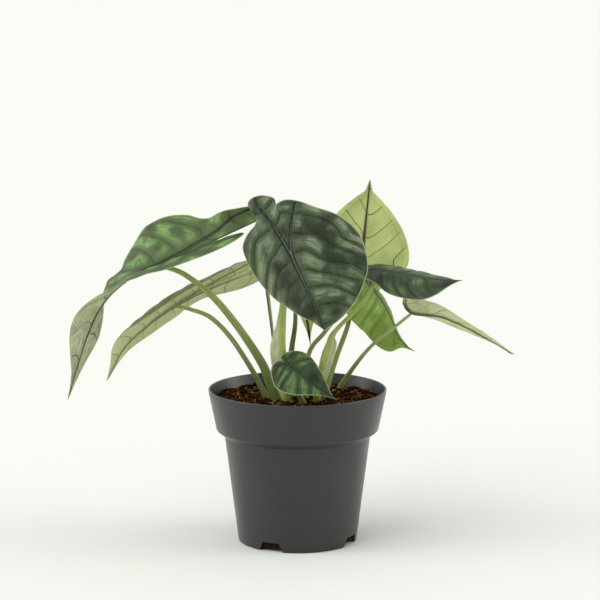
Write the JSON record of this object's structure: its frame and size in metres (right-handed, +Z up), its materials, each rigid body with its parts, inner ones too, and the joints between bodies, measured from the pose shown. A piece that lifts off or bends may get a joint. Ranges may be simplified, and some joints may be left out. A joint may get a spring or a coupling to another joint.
{
  "type": "potted alocasia",
  "caption": "Small houseplant with heart-shaped, quilted, metallic grey-green leaves on arching stalks, rooted in dark potting mix in a round tapered plastic nursery pot.",
  "frame": {"origin": "Middle of the pot's flat underside, on the surface it stands on.", "axes": "+Z up along the pot's axis; -Y towards the front, which the largest leaf faces; +X to the right seen from the front."},
  "size_m": [0.3018, 0.1233, 0.238],
  "materials": {
    "pot_plastic": "dark grey moulded polypropylene, faint satin sheen",
    "potting_mix": "moist crumbly peat with coir bits",
    "mature_blade": "leathery grey-green upper side with a metallic sheen and sunken near-black veins; pale green underside",
    "young_blade": "thinner yellow-green blade that glows with light behind it, fine brown veins under it",
    "petiole": "smooth, lightly striped green"
  },
  "bodies": {
    "root": {"nursery_pot": "pot_plastic", "potting_mix": "potting_mix", "blade_front": "mature_blade", "blade_left_upper": "mature_blade", "blade_left_lower": "mature_blade", "blade_back_upright": "young_blade", "blade_right_upper": "mature_blade", "blade_right_hanging": "young_blade", "blade_right_lower": "young_blade", "blade_small_front": "mature_blade", "blade_back_hidden": "young_blade", "petiole_front": "petiole", "petiole_left_upper": "petiole", "petiole_left_lower": "petiole", "petiole_back_upright": "petiole", "petiole_right_upper": "petiole", "petiole_right_hanging": "petiole", "petiole_right_lower": "petiole", "petiole_small_front": "petiole", "petiole_back_hidden": "petiole"}
  },
  "joints": []
}
